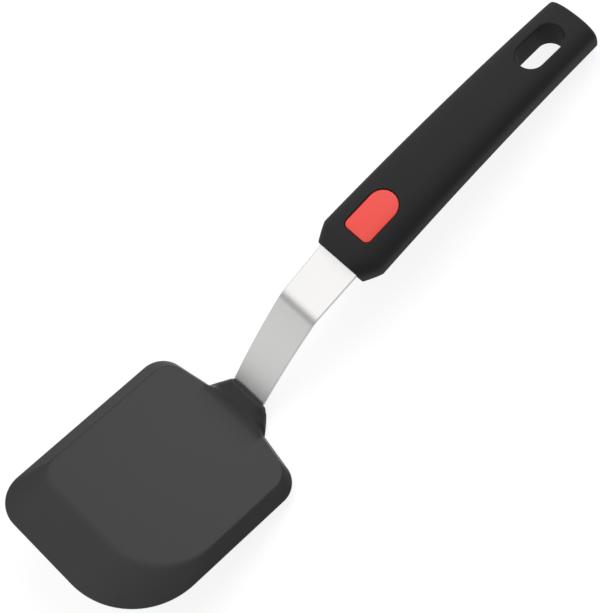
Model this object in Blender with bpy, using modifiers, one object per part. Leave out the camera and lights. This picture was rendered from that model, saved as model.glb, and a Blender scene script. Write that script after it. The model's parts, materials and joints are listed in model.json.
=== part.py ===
"""Silicone turner: an over-moulded silicone head on a bent steel shank with a two-part handle.

Everything is modelled with the blade lying flat: X runs across the blade, Y from its front edge to the
handle's tail, Z up, with the front edge at Y = 0 and the underside at Z = 0. A parent empty then leans
the whole tool back until it rests on the blade's heel and the handle's tail, as it lies on a table.
"""

import math

import bmesh
import bpy
from mathutils import Matrix, Vector
from mathutils.geometry import intersect_point_line

MM = 0.001

# Clearance left between two pieces that touch
GAP = 0.3 * MM

# Silicone head
HEAD_WIDTH = 74.0 * MM
HEAD_LENGTH = 89.2 * MM
SHOULDER_SLOPE = math.radians(10.4)
FRONT_LEFT_RADIUS = 12.5 * MM
FRONT_RIGHT_RADIUS = 30.5 * MM
REAR_RADIUS = 9.8 * MM
APEX_RADIUS = 4.0 * MM
EDGE_THICKNESS = 0.9 * MM
EDGE_ROUNDING = 0.15 * MM
PLATEAU_THICKNESS = 3.9 * MM
SIDE_BEVEL = 4.9 * MM
SHOULDER_BEVEL = 1.5 * MM
FRONT_WEDGE = 18.0 * MM
BOTTOM_SKIN = 1.2 * MM

# Blade core, the perforated spring plate inside the head
CORE_THICKNESS = 0.5 * MM
CORE_SIDE_MARGIN = 8.5 * MM
CORE_FRONT_MARGIN = 13.0 * MM
CORE_REAR_MARGIN = 5.0 * MM
CORE_CORNER_RADIUS = 7.0 * MM
PERFORATION_RADIUS = 3.0 * MM
PERFORATION_PITCH = 11.5 * MM
PERFORATION_EDGE = 3.5 * MM

# Shank: foot, heel bend, curved rise, upper bend, straight to the handle, tang
SHANK_THICKNESS = 1.3 * MM
SHANK_NECK_WIDTH = 15.2 * MM
SHANK_MOUTH_WIDTH = 17.8 * MM
SHANK_EDGE = 0.25 * MM
FOOT_LENGTH = 18.0 * MM
HEEL_SETBACK = 3.7 * MM
HEEL_BEND_RADIUS = 8.0 * MM
NECK_RUN = 1.6 * MM
NECK_SLOPE = math.radians(58.0)
RISE_LENGTH = 38.3 * MM
RISE_END_SLOPE = math.radians(46.0)
UPPER_BEND_RADIUS = 14.0 * MM
UPPER_SLOPE = math.radians(24.0)
UPPER_LENGTH = 18.95 * MM
TANG_BEND_RADIUS = 30.0 * MM
TANG_SLOPE = math.radians(10.0)
TANG_LENGTH = 52.0 * MM
TANG_WIDTH = 13.0 * MM
TANG_HOLE_RADIUS = 2.8 * MM
TANG_HOLE_PLACES = (18.0 * MM, 38.0 * MM)

# Rivets between foot and blade core
RIVET_RADIUS = 1.5 * MM
RIVET_HEAD_RADIUS = 2.7 * MM
RIVET_HEAD_HEIGHT = 0.4 * MM
COUNTERSINK_DEPTH = 0.9 * MM
RIVET_PLACES = {"core_rivet_front": 4.5 * MM, "core_rivet_rear": 11.5 * MM}

# Neck of the head round the shank
NECK_COVER = 2.0 * MM
NECK_UNDER_COVER = 0.5 * MM
NECK_RIDGE_MARGIN = 1.8 * MM
NECK_END_MARGIN = 0.4 * MM
NECK_ROOT_WIDTH = 30.6 * MM
NECK_ROOT_RISE = 12.0 * MM
NECK_SQUARENESS = 3.2
FOOT_SKIN = 0.8 * MM

# Handle; its mould opens square to the mould slope, which the slot follows
HANDLE_LENGTH = 125.9 * MM
HANDLE_SLOPE = math.radians(16.7)
HANDLE_ARCH_RADIUS = 680.0 * MM
MOULD_SLOPE = math.radians(14.0)
HANDLE_FRONT_WIDTH = 28.0 * MM
HANDLE_TAIL_WIDTH = 22.0 * MM
HANDLE_FRONT_THICKNESS = 18.8 * MM
HANDLE_TAIL_THICKNESS = 15.9 * MM
HANDLE_FRONT_SQUARENESS = 2.8
HANDLE_TAIL_SQUARENESS = 3.8
SHANK_DEPTH_IN_MOUTH = 7.1 * MM
MOUTH_TAPER_LENGTH = 7.25 * MM
MOUTH_TAPER_SIDE = 3.6 * MM
MOUTH_TAPER_TOP = 0.8 * MM
MOUTH_LEAN = math.radians(4.0)
TAIL_FACE_SLOPE = math.radians(18.5)
TAIL_CORNER_RADIUS = 0.8 * MM
TAIL_TOP_RADIUS = 2.4 * MM
TAIL_UNDER_RADIUS = 0.8 * MM
TAIL_BOW_RADIUS = 62.0 * MM
TAIL_BOW_FADE = 9.0 * MM
GRIP_WALL = 2.0 * MM

# Hanging slot through the tail
SLOT_WIDTH = 11.2 * MM
SLOT_LENGTH = 20.6 * MM
SLOT_FROM_TAIL = 20.55 * MM
SLOT_LINING = 1.2 * MM

# Red inlay in the top of the handle
INLAY_WIDTH = 11.7 * MM
INLAY_LENGTH = 19.9 * MM
INLAY_FROM_MOUTH = 19.75 * MM
INLAY_FRONT_CORNER = 2.2 * MM
INLAY_RECESS = 0.15 * MM
INLAY_DEPTH = 3.0 * MM
INLAY_PEG_RADIUS = 1.6 * MM
INLAY_PEG_LENGTH = 1.5 * MM
INLAY_PEG_SPACING = 8.0 * MM

# Faceting of round shapes
CORNER_STEPS = 8
CIRCLE_STEPS = 20
SECTION_STEPS = 40

# Heights in the stack of pieces at the shank's foot
CORE_BOTTOM = BOTTOM_SKIN + GAP
CORE_TOP = CORE_BOTTOM + CORE_THICKNESS
FOOT_CENTRE = CORE_TOP + GAP + SHANK_THICKNESS / 2
FOOT_TOP = FOOT_CENTRE + SHANK_THICKNESS / 2
HEEL_START = HEAD_LENGTH - HEEL_SETBACK


def material(name, color, roughness, metallic=0.0):
    """Principled material in one colour."""
    result = bpy.data.materials.new(name)
    result.use_nodes = True
    shader = result.node_tree.nodes["Principled BSDF"]
    shader.inputs["Base Color"].default_value = (*color, 1.0)
    shader.inputs["Roughness"].default_value = roughness
    shader.inputs["Metallic"].default_value = metallic
    return result


def place(name, mesh, collection):
    """New object for a mesh, linked to a collection."""
    obj = bpy.data.objects.new(name, mesh)
    collection.objects.link(obj)
    if collection.name == CUTTERS:
        obj.hide_render = True
        obj.display_type = "WIRE"
    return obj


def cap_bands(shape, ring):
    """Close a ring whose two halves mirror each other with bands from one half to the other."""
    count = len(ring)
    for i in range(count // 2 - 1):
        shape.faces.new((ring[i], ring[i + 1], ring[count - 2 - i], ring[count - 1 - i]))


def loft(name, rings, collection, bowed=False):
    """Closed solid through rings of equally many points, capped at both ends; a bowed cap is banded."""
    mesh = bpy.data.meshes.new(name)
    shape = bmesh.new()
    loops = [[shape.verts.new(point) for point in ring] for ring in rings]
    for lower, upper in zip(loops, loops[1:]):
        for i in range(len(lower)):
            j = (i + 1) % len(lower)
            shape.faces.new((lower[i], lower[j], upper[j], upper[i]))
    for ring in (loops[0], loops[-1]):
        if bowed:
            cap_bands(shape, ring)
        else:
            shape.faces.new(ring)
    bmesh.ops.recalc_face_normals(shape, faces=shape.faces)
    shape.to_mesh(mesh)
    shape.free()
    return place(name, mesh, collection)


def plate(name, outline, thickness, collection, holes=()):
    """Flat plate centred on Z = 0, from a filled 2D curve of one outline and its holes."""
    curve = bpy.data.curves.new(name + "_outline", "CURVE")
    curve.dimensions = "2D"
    curve.fill_mode = "BOTH"
    curve.extrude = thickness / 2
    for points in (outline, *holes):
        spline = curve.splines.new("POLY")
        spline.points.add(len(points) - 1)
        for point, (x, y) in zip(spline.points, points):
            point.co = (x, y, 0.0, 1.0)
        spline.use_cyclic_u = True
    guide = bpy.data.objects.new(name + "_guide", curve)
    collection.objects.link(guide)
    graph = bpy.context.evaluated_depsgraph_get()
    mesh = bpy.data.meshes.new_from_object(guide.evaluated_get(graph))
    bpy.data.objects.remove(guide)
    shape = bmesh.new()
    shape.from_mesh(mesh)
    bmesh.ops.remove_doubles(shape, verts=shape.verts, dist=0.001 * MM)
    bmesh.ops.recalc_face_normals(shape, faces=shape.faces)
    shape.to_mesh(mesh)
    shape.free()
    return place(name, mesh, collection)


def turned(name, profile, collection):
    """Solid of revolution about Z from (radius, height) points that start and end on the axis."""
    mesh = bpy.data.meshes.new(name)
    edges = [(i, i + 1) for i in range(len(profile) - 1)]
    mesh.from_pydata([(radius, 0.0, height) for radius, height in profile], edges, [])
    obj = place(name, mesh, collection)
    screw = obj.modifiers.new("turn", "SCREW")
    screw.steps = CIRCLE_STEPS
    screw.render_steps = CIRCLE_STEPS
    screw.use_merge_vertices = True
    screw.merge_threshold = 0.001 * MM
    return obj


def cylinder(name, radius, bottom, top, collection):
    """Upright cylinder between two heights."""
    return turned(name, [(0.0, top), (radius, top), (radius, bottom), (0.0, bottom)], collection)


def combine(target, other, operation):
    """Boolean modifier that cuts, joins or intersects with another object."""
    step = target.modifiers.new(other.name, "BOOLEAN")
    step.operation = operation
    step.object = other
    step.solver = "EXACT"


def arc_points(centre, radius, start, end, steps):
    """Points of an arc from one angle to another, both ends included."""
    result = []
    for i in range(steps + 1):
        angle = start + (end - start) * i / steps
        result.append((centre[0] + radius * math.cos(angle), centre[1] + radius * math.sin(angle)))
    return result


def circle(centre, radius):
    """Closed circle of points."""
    return arc_points(centre, radius, 0.0, math.tau, CIRCLE_STEPS)[:-1]


def rounded(corners):
    """Counter-clockwise outline from (x, y, radius) corners."""
    outline = []
    for i, (x, y, radius) in enumerate(corners):
        here = Vector((x, y))
        before = (Vector(corners[i - 1][:2]) - here).normalized()
        after = (Vector(corners[(i + 1) % len(corners)][:2]) - here).normalized()
        half = before.angle(after) / 2
        centre = here + (before + after).normalized() * (radius / math.sin(half))
        start = here + before * (radius / math.tan(half)) - centre
        turn = math.pi - 2 * half
        first = math.atan2(start.y, start.x)
        outline += arc_points(centre, radius, first, first + turn, CORNER_STEPS)
    return outline


def stadium(width, length):
    """Slot outline with round ends, long side along Y."""
    radius = width / 2
    reach = length / 2 - radius
    return (arc_points((0.0, reach), radius, 0.0, math.pi, CIRCLE_STEPS // 2)
            + arc_points((0.0, -reach), radius, math.pi, math.tau, CIRCLE_STEPS // 2))


def tombstone(width, length, corner):
    """Inlay outline: small corners at the front, one full round at the back."""
    radius = width / 2
    front = -length / 2
    return (arc_points((0.0, length / 2 - radius), radius, 0.0, math.pi, CIRCLE_STEPS // 2)
            + arc_points((corner - radius, front + corner), corner, math.pi, 1.5 * math.pi, CORNER_STEPS)
            + arc_points((radius - corner, front + corner), corner, 1.5 * math.pi, math.tau, CORNER_STEPS))


def head_outline(side, shoulder, front):
    """Outline of the head, moved in by the given amounts at its sides, shoulders and front."""
    half = HEAD_WIDTH / 2 - side
    apex = HEAD_LENGTH - shoulder
    rear = apex - half * math.tan(SHOULDER_SLOPE)
    corner = min(side, shoulder)
    return rounded([
        (-half, front, FRONT_LEFT_RADIUS - min(side, front)),
        (half, front, FRONT_RIGHT_RADIUS - min(side, front)),
        (half, rear, REAR_RADIUS - corner),
        (0.0, apex, APEX_RADIUS),
        (-half, rear, REAR_RADIUS - corner),
    ])


def at_height(outline, z):
    """Outline as a ring of points at one height."""
    return [Vector((x, y, z)) for x, y in outline]


def superellipse(half_width, above, below, squareness, steps):
    """Section outline (x, height): a rounded rectangle that can be taller on one side."""
    points = []
    for i in range(steps):
        angle = math.tau * (i + 0.5) / steps
        cos = math.cos(angle)
        sin = math.sin(angle)
        x = math.copysign(abs(cos) ** (2 / squareness), cos) * half_width
        z = math.copysign(abs(sin) ** (2 / squareness), sin) * (above if sin > 0 else below)
        points.append((x, z))
    return points


def arc_run(start, angle, length, turn, steps):
    """Stations (distance, y, z, angle) along an arc of a side profile; start is left out."""
    distance, y, z = start
    stations = []
    for i in range(1, steps + 1):
        middle = angle + turn * (i - 0.5) / steps
        y += math.cos(middle) * length / steps
        z += math.sin(middle) * length / steps
        distance += length / steps
        stations.append((distance, y, z, angle + turn * i / steps))
    return stations


def shank_path():
    """Side profile of the shank's centre line, and the distances where its runs end."""
    path = [(0.0, HEEL_START - FOOT_LENGTH, FOOT_CENTRE, 0.0)]
    marks = {}
    upper_turn = UPPER_SLOPE - RISE_END_SLOPE
    tang_turn = TANG_SLOPE - UPPER_SLOPE
    runs = (
        ("foot", FOOT_LENGTH, 0.0, 1),
        ("heel", HEEL_BEND_RADIUS * NECK_SLOPE, NECK_SLOPE, 8),
        ("neck", NECK_RUN, 0.0, 1),
        ("rise", RISE_LENGTH, RISE_END_SLOPE - NECK_SLOPE, 8),
        ("upper_bend", UPPER_BEND_RADIUS * abs(upper_turn), upper_turn, 5),
        ("mouth", UPPER_LENGTH, 0.0, 1),
        ("tang_bend", TANG_BEND_RADIUS * abs(tang_turn), tang_turn, 4),
        ("tang", TANG_LENGTH, 0.0, 1),
    )
    for name, length, turn, steps in runs:
        distance, y, z, angle = path[-1]
        path += arc_run((distance, y, z), angle, length, turn, steps)
        marks[name] = path[-1][0]
    return path, marks


def shank_width(distance, marks):
    """Width of the strap: even in the head, wider towards the handle, narrow again as a tang."""
    if distance <= marks["neck"]:
        return SHANK_NECK_WIDTH
    if distance <= marks["mouth"]:
        share = (distance - marks["neck"]) / (marks["mouth"] - marks["neck"])
        return SHANK_NECK_WIDTH + (SHANK_MOUTH_WIDTH - SHANK_NECK_WIDTH) * share
    share = min(1.0, (distance - marks["mouth"]) / (marks["tang_bend"] - marks["mouth"]))
    return SHANK_MOUTH_WIDTH + (TANG_WIDTH - SHANK_MOUTH_WIDTH) * share


def section_ring(y, z, angle, outline):
    """Section outline set square to a side profile at one of its stations."""
    return [Vector((x, y - h * math.sin(angle), z + h * math.cos(angle))) for x, h in outline]


def strap_section(width, thickness, edge):
    """Strap section with its four edges broken."""
    w = width / 2
    t = thickness / 2
    return [(w, t - edge), (w - edge, t), (edge - w, t), (-w, t - edge),
            (-w, edge - t), (edge - w, -t), (w - edge, -t), (w, edge - t)]


def strap(name, grow, collection):
    """The shank's bare strap, or the same grown by a clearance on every side."""
    path, marks = shank_path()
    first = path[0]
    last = path[-1]
    stations = [(first[0], first[1] - grow, first[2], first[3])] + path[1:-1]
    stations.append((last[0], last[1] + grow * math.cos(last[3]), last[2] + grow * math.sin(last[3]), last[3]))
    rings = []
    for distance, y, z, angle in stations:
        outline = strap_section(shank_width(distance, marks) + 2 * grow, SHANK_THICKNESS + 2 * grow, SHANK_EDGE)
        rings.append(section_ring(y, z, angle, outline))
    return loft(name, rings, collection)


def tang_station(place_along):
    """Matrix on the straight tang, its Z square to the strap, at a distance from its start."""
    path, marks = shank_path()
    distance, y, z, angle = next(s for s in path if s[0] >= marks["tang_bend"])
    centre = Vector((0.0, y + place_along * math.cos(angle), z + place_along * math.sin(angle)))
    return Matrix.Translation(centre) @ Matrix.Rotation(angle, 4, "X")


def mouth_station():
    """Point (y, z) where the shank's centre line enters the handle's front face."""
    path, marks = shank_path()
    distance, y, z, angle = next(s for s in path if s[0] >= marks["mouth"])
    return y, z


def handle_frame(along):
    """Crown point (y, z) and slope of the arched handle at a distance behind its mouth."""
    y, z = mouth_station()
    y -= math.sin(HANDLE_SLOPE) * SHANK_DEPTH_IN_MOUTH
    z += math.cos(HANDLE_SLOPE) * SHANK_DEPTH_IN_MOUTH
    slope = HANDLE_SLOPE - along / HANDLE_ARCH_RADIUS
    y += HANDLE_ARCH_RADIUS * (math.sin(HANDLE_SLOPE) - math.sin(slope))
    z += HANDLE_ARCH_RADIUS * (math.cos(slope) - math.cos(HANDLE_SLOPE))
    return y, z, slope


def handle_matrix(along, slope=None):
    """Matrix with its origin on the handle's crown and Z out of the top."""
    y, z, local = handle_frame(along)
    return Matrix.Translation((0.0, y, z)) @ Matrix.Rotation(local if slope is None else slope, 4, "X")


def corner_inset(distance, radius):
    """How far a quarter-round corner pulls in at a distance from the end it rounds."""
    if distance >= radius:
        return 0.0
    return radius - math.sqrt(radius ** 2 - (radius - distance) ** 2)


def handle_ring(along, wall, steps):
    """Ring of the handle at a distance behind its mouth, a wall's thickness inside its skin."""
    share = along / HANDLE_LENGTH
    width = HANDLE_FRONT_WIDTH + (HANDLE_TAIL_WIDTH - HANDLE_FRONT_WIDTH) * share
    thickness = HANDLE_FRONT_THICKNESS + (HANDLE_TAIL_THICKNESS - HANDLE_FRONT_THICKNESS) * share
    squareness = HANDLE_FRONT_SQUARENESS + (HANDLE_TAIL_SQUARENESS - HANDLE_FRONT_SQUARENESS) * share
    taper = max(0.0, 1.0 - along / MOUTH_TAPER_LENGTH)
    to_tail = HANDLE_LENGTH - along
    side = MOUTH_TAPER_SIDE * taper + corner_inset(to_tail, TAIL_CORNER_RADIUS)
    above = thickness / 2 - MOUTH_TAPER_TOP * taper - corner_inset(to_tail, TAIL_TOP_RADIUS) - wall
    below = thickness / 2 - MOUTH_TAPER_TOP * taper - corner_inset(to_tail, TAIL_UNDER_RADIUS) - wall
    half = width / 2 - side - wall
    y, z, slope = handle_frame(along)
    y += math.sin(slope) * thickness / 2
    z -= math.cos(slope) * thickness / 2
    fade = max(0.0, 1.0 - to_tail / TAIL_BOW_FADE)
    tilt = slope + (TAIL_FACE_SLOPE - slope) * fade
    shank_level = thickness / 2 - SHANK_DEPTH_IN_MOUTH
    ring = []
    for x, h in superellipse(half, above, below, squareness, steps):
        back = fade * (x * x) / (2 * TAIL_BOW_RADIUS) - taper * math.tan(MOUTH_LEAN) * (shank_level - h)
        ring.append(Vector((x, y - h * math.sin(tilt) - back * math.cos(slope),
                            z + h * math.cos(tilt) - back * math.sin(slope))))
    return ring


def handle_form(name, wall, steps, collection):
    """The handle's outer form, or the same form inside a wall."""
    first = wall
    last = HANDLE_LENGTH - wall
    tail_start = HANDLE_LENGTH - TAIL_BOW_FADE
    places = [first, (first + MOUTH_TAPER_LENGTH) / 2, MOUTH_TAPER_LENGTH]
    body_steps = 8
    places += [MOUTH_TAPER_LENGTH + (tail_start - MOUTH_TAPER_LENGTH) * i / body_steps
               for i in range(1, body_steps + 1)]
    tail_steps = 6
    for i in range(1, tail_steps + 1):
        places.append(tail_start + (last - tail_start) * math.sin(math.pi / 2 * i / tail_steps))
    return loft(name, [handle_ring(place_along, wall, steps) for place_along in places], collection, bowed=True)


def slot_prism(name, wall, collection):
    """Prism of the hanging slot, or of its lining, through the whole tail."""
    tall = 3 * HANDLE_FRONT_THICKNESS
    prism = plate(name, stadium(SLOT_WIDTH + 2 * wall, SLOT_LENGTH + 2 * wall), tall, collection)
    prism.matrix_world = handle_matrix(HANDLE_LENGTH - SLOT_FROM_TAIL, MOULD_SLOPE)
    return prism


def inlay_prism(name, grow, bottom, collection):
    """Prism of the inlay's outline from a depth under the crown to well above it."""
    tall = bottom + GRIP_WALL
    outline = tombstone(INLAY_WIDTH + 2 * grow, INLAY_LENGTH + 2 * grow, INLAY_FRONT_CORNER + grow)
    prism = plate(name, outline, tall, collection)
    prism.matrix_world = handle_matrix(INLAY_FROM_MOUTH) @ Matrix.Translation((0.0, 0.0, tall / 2 - bottom))
    return prism


def inlay_pegs(name, grow, top, collection):
    """The inlay's two pegs, or their sockets."""
    pegs = []
    for sign in (-1, 1):
        peg = cylinder("%s_%s" % (name, "front" if sign < 0 else "rear"), INLAY_PEG_RADIUS + grow,
                       -INLAY_DEPTH - INLAY_PEG_LENGTH - grow, top, collection)
        offset = Matrix.Translation((0.0, sign * INLAY_PEG_SPACING / 2, 0.0))
        peg.matrix_world = handle_matrix(INLAY_FROM_MOUTH) @ offset
        pegs.append(peg)
    return pegs


def core_outline(grow):
    """Outline of the blade core, moved out by a clearance."""
    half = HEAD_WIDTH / 2 - CORE_SIDE_MARGIN + grow
    apex = HEAD_LENGTH - CORE_REAR_MARGIN + grow
    rear = apex - half * math.tan(SHOULDER_SLOPE)
    front = CORE_FRONT_MARGIN - grow
    round_corner = FRONT_RIGHT_RADIUS - CORE_SIDE_MARGIN + grow
    small_corner = CORE_CORNER_RADIUS + grow
    return rounded([
        (-half, front, small_corner),
        (half, front, round_corner),
        (half, rear, small_corner),
        (0.0, apex, APEX_RADIUS),
        (-half, rear, small_corner),
    ])


def distance_to_outline(point, outline):
    """Shortest distance from a point to a closed outline."""
    nearest = math.inf
    for start, end in zip(outline, outline[1:] + outline[:1]):
        share = min(1.0, max(0.0, intersect_point_line(point, start, end)[1]))
        nearest = min(nearest, (Vector(start).lerp(Vector(end), share) - point).length)
    return nearest


def perforations(radius):
    """Holes of the blade core on a square grid, clear of its outline and of the shank's foot."""
    clear = PERFORATION_EDGE + PERFORATION_RADIUS
    outline = core_outline(0.0)
    front = CORE_FRONT_MARGIN + clear
    rear = max(y for x, y in outline) - clear
    columns = max(1, int((HEAD_WIDTH - 2 * CORE_SIDE_MARGIN - 2 * clear) / PERFORATION_PITCH))
    rows = max(1, int((rear - front) / PERFORATION_PITCH))
    foot_front = HEEL_START - FOOT_LENGTH - clear
    foot_side = SHANK_NECK_WIDTH / 2 + clear
    holes = []
    for row in range(rows + 1):
        for column in range(columns + 1):
            centre = Vector(((column - columns / 2) * PERFORATION_PITCH, front + row * PERFORATION_PITCH))
            at_edge = distance_to_outline(centre, outline) < clear - GAP
            at_foot = centre.y > foot_front and abs(centre.x) < foot_side
            if not at_edge and not at_foot:
                holes.append(circle(centre, radius))
    return holes


def core_plate(name, grow, collection):
    """The blade core, or the same plate grown by a clearance."""
    holes = perforations(PERFORATION_RADIUS - grow)
    body = plate(name, core_outline(grow), CORE_THICKNESS + 2 * grow, collection, holes)
    body.location.z = CORE_BOTTOM + CORE_THICKNESS / 2
    return body


def rivet_station(place_along):
    """Matrix at the blade core's underside below the foot, at a distance behind the foot's front end."""
    return Matrix.Translation((0.0, HEEL_START - FOOT_LENGTH + place_along, CORE_BOTTOM))


def make_rivet(name, place_along, parts):
    """Rivet with a low head under the core and a countersunk head flush with the foot."""
    top = FOOT_TOP - CORE_BOTTOM
    seat = -GAP
    profile = [
        (0.0, top),
        (RIVET_HEAD_RADIUS, top),
        (RIVET_RADIUS, top - COUNTERSINK_DEPTH),
        (RIVET_RADIUS, seat),
        (RIVET_HEAD_RADIUS, seat),
        (RIVET_HEAD_RADIUS, seat - RIVET_HEAD_HEIGHT),
        (0.0, seat - RIVET_HEAD_HEIGHT),
    ]
    rivet = turned(name, profile, parts)
    rivet.matrix_world = rivet_station(place_along)
    return rivet


def make_rivet_hole(name, place_along, cutters):
    """Clearance hole for a rivet through core and foot, with the foot's countersink."""
    top = FOOT_TOP - CORE_BOTTOM
    spread = (RIVET_HEAD_RADIUS - RIVET_RADIUS) / COUNTERSINK_DEPTH
    shift = GAP * math.hypot(1.0, spread)
    over = GAP
    profile = [
        (0.0, top + over),
        (RIVET_HEAD_RADIUS + shift + over * spread, top + over),
        (RIVET_RADIUS + GAP, top - COUNTERSINK_DEPTH - (shift - GAP) / spread),
        (RIVET_RADIUS + GAP, -over),
        (0.0, -over),
    ]
    hole = turned(name, profile, cutters)
    hole.matrix_world = rivet_station(place_along)
    return hole


def neck_rings():
    """Rings of the silicone neck: a low root on the plateau that climbs round the shank."""
    path, marks = shank_path()
    root = NECK_ROOT_WIDTH / 2
    ridge = SHANK_NECK_WIDTH / 2 + NECK_RIDGE_MARGIN
    cover = SHANK_THICKNESS / 2 + NECK_COVER
    under_cover = SHANK_THICKNESS / 2 + NECK_UNDER_COVER
    foot_cover = SHANK_THICKNESS / 2 + GAP + FOOT_SKIN
    hidden = PLATEAU_THICKNESS - EDGE_THICKNESS - GAP
    below = FOOT_CENTRE - GAP
    foot_front = HEEL_START - FOOT_LENGTH
    rise = FOOT_CENTRE + foot_cover - EDGE_THICKNESS
    rings = []
    for y, above in ((foot_front - NECK_ROOT_RISE, hidden), (foot_front, rise)):
        outline = superellipse(root, above, EDGE_THICKNESS - GAP, 2.0, SECTION_STEPS)
        rings.append(section_ring(y, EDGE_THICKNESS, 0.0, outline))
    climb = [station for station in path if marks["foot"] <= station[0] <= marks["heel"]]
    for distance, y, z, angle in climb:
        share = (distance - marks["foot"]) / (marks["heel"] - marks["foot"])
        half = root + (ridge - root) * share
        above = foot_cover + (cover - foot_cover) * share
        under = below + (under_cover - below) * share
        squareness = 2.0 + (NECK_SQUARENESS - 2.0) * share
        drop = (FOOT_CENTRE - EDGE_THICKNESS) * (1.0 - share)
        outline = superellipse(half, above + drop, under - drop, squareness, SECTION_STEPS)
        rings.append(section_ring(y, z, angle, [(x, h - drop) for x, h in outline]))
    distance, y, z, angle = next(station for station in path if station[0] >= marks["neck"])
    end = SHANK_NECK_WIDTH / 2 + NECK_END_MARGIN
    outline = superellipse(end, cover, SHANK_THICKNESS / 2 + NECK_END_MARGIN, NECK_SQUARENESS, SECTION_STEPS)
    rings.append(section_ring(y, z, angle, outline))
    return rings


def make_head(parts, cutters, rivet_places):
    """Silicone head: bevelled plate and neck in one, hollow where core, foot and rivets lie."""
    full = head_outline(0.0, 0.0, 0.0)
    low = head_outline(EDGE_ROUNDING, EDGE_ROUNDING, EDGE_ROUNDING)
    plateau = head_outline(SIDE_BEVEL, SHOULDER_BEVEL, FRONT_WEDGE)
    head = loft("silicone_head", [
        at_height(low, 0.0),
        at_height(full, EDGE_ROUNDING),
        at_height(full, EDGE_THICKNESS - EDGE_ROUNDING),
        at_height(low, EDGE_THICKNESS),
        at_height(plateau, PLATEAU_THICKNESS),
    ], parts)
    combine(head, loft("neck", neck_rings(), cutters), "UNION")
    combine(head, core_plate("core_pocket", GAP, cutters), "DIFFERENCE")
    combine(head, bpy.data.objects["shank_pocket"], "DIFFERENCE")
    for name, place_along in rivet_places.items():
        pocket = cylinder(name + "_pocket", RIVET_HEAD_RADIUS + GAP, -2 * GAP - RIVET_HEAD_HEIGHT, 0.0, cutters)
        pocket.matrix_world = rivet_station(place_along)
        combine(head, pocket, "DIFFERENCE")
    return head


def make_shank(parts, cutters, rivet_holes):
    """Shank with its rivet holes, and its tang holes for the handle core's plugs."""
    shank = strap("shank", 0.0, parts)
    for hole in rivet_holes:
        combine(shank, hole, "DIFFERENCE")
    reach = 3 * SHANK_THICKNESS
    for i, place_along in enumerate(TANG_HOLE_PLACES):
        hole = cylinder("tang_hole_%d" % (i + 1), TANG_HOLE_RADIUS, -reach, reach, cutters)
        hole.matrix_world = tang_station(place_along)
        combine(shank, hole, "DIFFERENCE")
    return shank


def make_shank_pocket(cutters):
    """Room for the shank in the mouldings, crossed by the plugs that fill its tang holes."""
    pocket = strap("shank_pocket", GAP, cutters)
    reach = 3 * SHANK_THICKNESS
    for i, place_along in enumerate(TANG_HOLE_PLACES):
        plug = cylinder("tang_plug_%d" % (i + 1), TANG_HOLE_RADIUS - GAP, -reach, reach, cutters)
        plug.matrix_world = tang_station(place_along)
        combine(pocket, plug, "DIFFERENCE")
    return pocket


def make_handle_core(parts, cutters):
    """Hard core of the handle, moulded round the tang."""
    core = handle_form("handle_core", GRIP_WALL + GAP, SECTION_STEPS - 8, parts)
    combine(core, bpy.data.objects["shank_pocket"], "DIFFERENCE")
    combine(core, slot_prism("core_slot", SLOT_LINING + GAP, cutters), "DIFFERENCE")
    combine(core, inlay_prism("inlay_pocket", GAP, INLAY_DEPTH + GAP, cutters), "DIFFERENCE")
    for socket in inlay_pegs("inlay_socket", GAP, 0.0, cutters):
        combine(core, socket, "DIFFERENCE")
    return core


def make_handle_grip(parts, cutters):
    """Soft grip: a shell over the core that also lines the slot and frames the inlay."""
    grip = handle_form("handle_grip", 0.0, SECTION_STEPS, parts)
    hollow = handle_form("grip_hollow", GRIP_WALL, SECTION_STEPS - 8, cutters)
    combine(hollow, slot_prism("slot_lining", SLOT_LINING, cutters), "DIFFERENCE")
    combine(grip, hollow, "DIFFERENCE")
    combine(grip, slot_prism("hang_slot", 0.0, cutters), "DIFFERENCE")
    combine(grip, bpy.data.objects["inlay_pocket"], "DIFFERENCE")
    combine(grip, bpy.data.objects["shank_pocket"], "DIFFERENCE")
    return grip


def make_inlay(parts, cutters):
    """Red inlay: its top follows the handle's surface, and two pegs hold it in the core."""
    inlay = inlay_prism("red_inlay", 0.0, INLAY_DEPTH, parts)
    combine(inlay, handle_form("inlay_surface", INLAY_RECESS, SECTION_STEPS, cutters), "INTERSECT")
    for peg in inlay_pegs("inlay_peg", 0.0, -INLAY_DEPTH / 2, cutters):
        combine(inlay, peg, "UNION")
    return inlay


def evaluated_points(obj):
    """World points of an object as its modifiers leave it."""
    graph = bpy.context.evaluated_depsgraph_get()
    evaluated = obj.evaluated_get(graph)
    return [obj.matrix_world @ vertex.co for vertex in evaluated.data.vertices]


def resting_matrix(heel_piece, tail_piece):
    """Lean the tool back until heel and tail touch the table, and centre it over the origin."""
    heel_points = evaluated_points(heel_piece)
    tail_points = evaluated_points(tail_piece)
    lean = 0.0
    for _ in range(20):
        turn = Matrix.Rotation(-lean, 3, "X")
        heel = min(heel_points, key=lambda p: (turn @ p).z)
        tail = min(tail_points, key=lambda p: (turn @ p).z)
        lean = math.atan2(tail.z - heel.z, tail.y - heel.y)
    turn = Matrix.Rotation(-lean, 4, "X")
    points = [turn @ p for p in heel_points + tail_points]
    low = Vector([min(p[i] for p in points) for i in range(3)])
    high = Vector([max(p[i] for p in points) for i in range(3)])
    shift = Vector((-(low.x + high.x) / 2, -(low.y + high.y) / 2, -low.z))
    return Matrix.Translation(shift) @ turn


def finish_piece(obj, surface):
    """Give a piece its material and smooth shading with sharp creases."""
    obj.data.materials.clear()
    obj.data.materials.append(surface)
    obj.data.shade_smooth()
    obj.data.set_sharp_from_angle(angle=math.radians(35.0))


CUTTERS = "cutters"

for old in list(bpy.data.objects):
    bpy.data.objects.remove(old)

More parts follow.
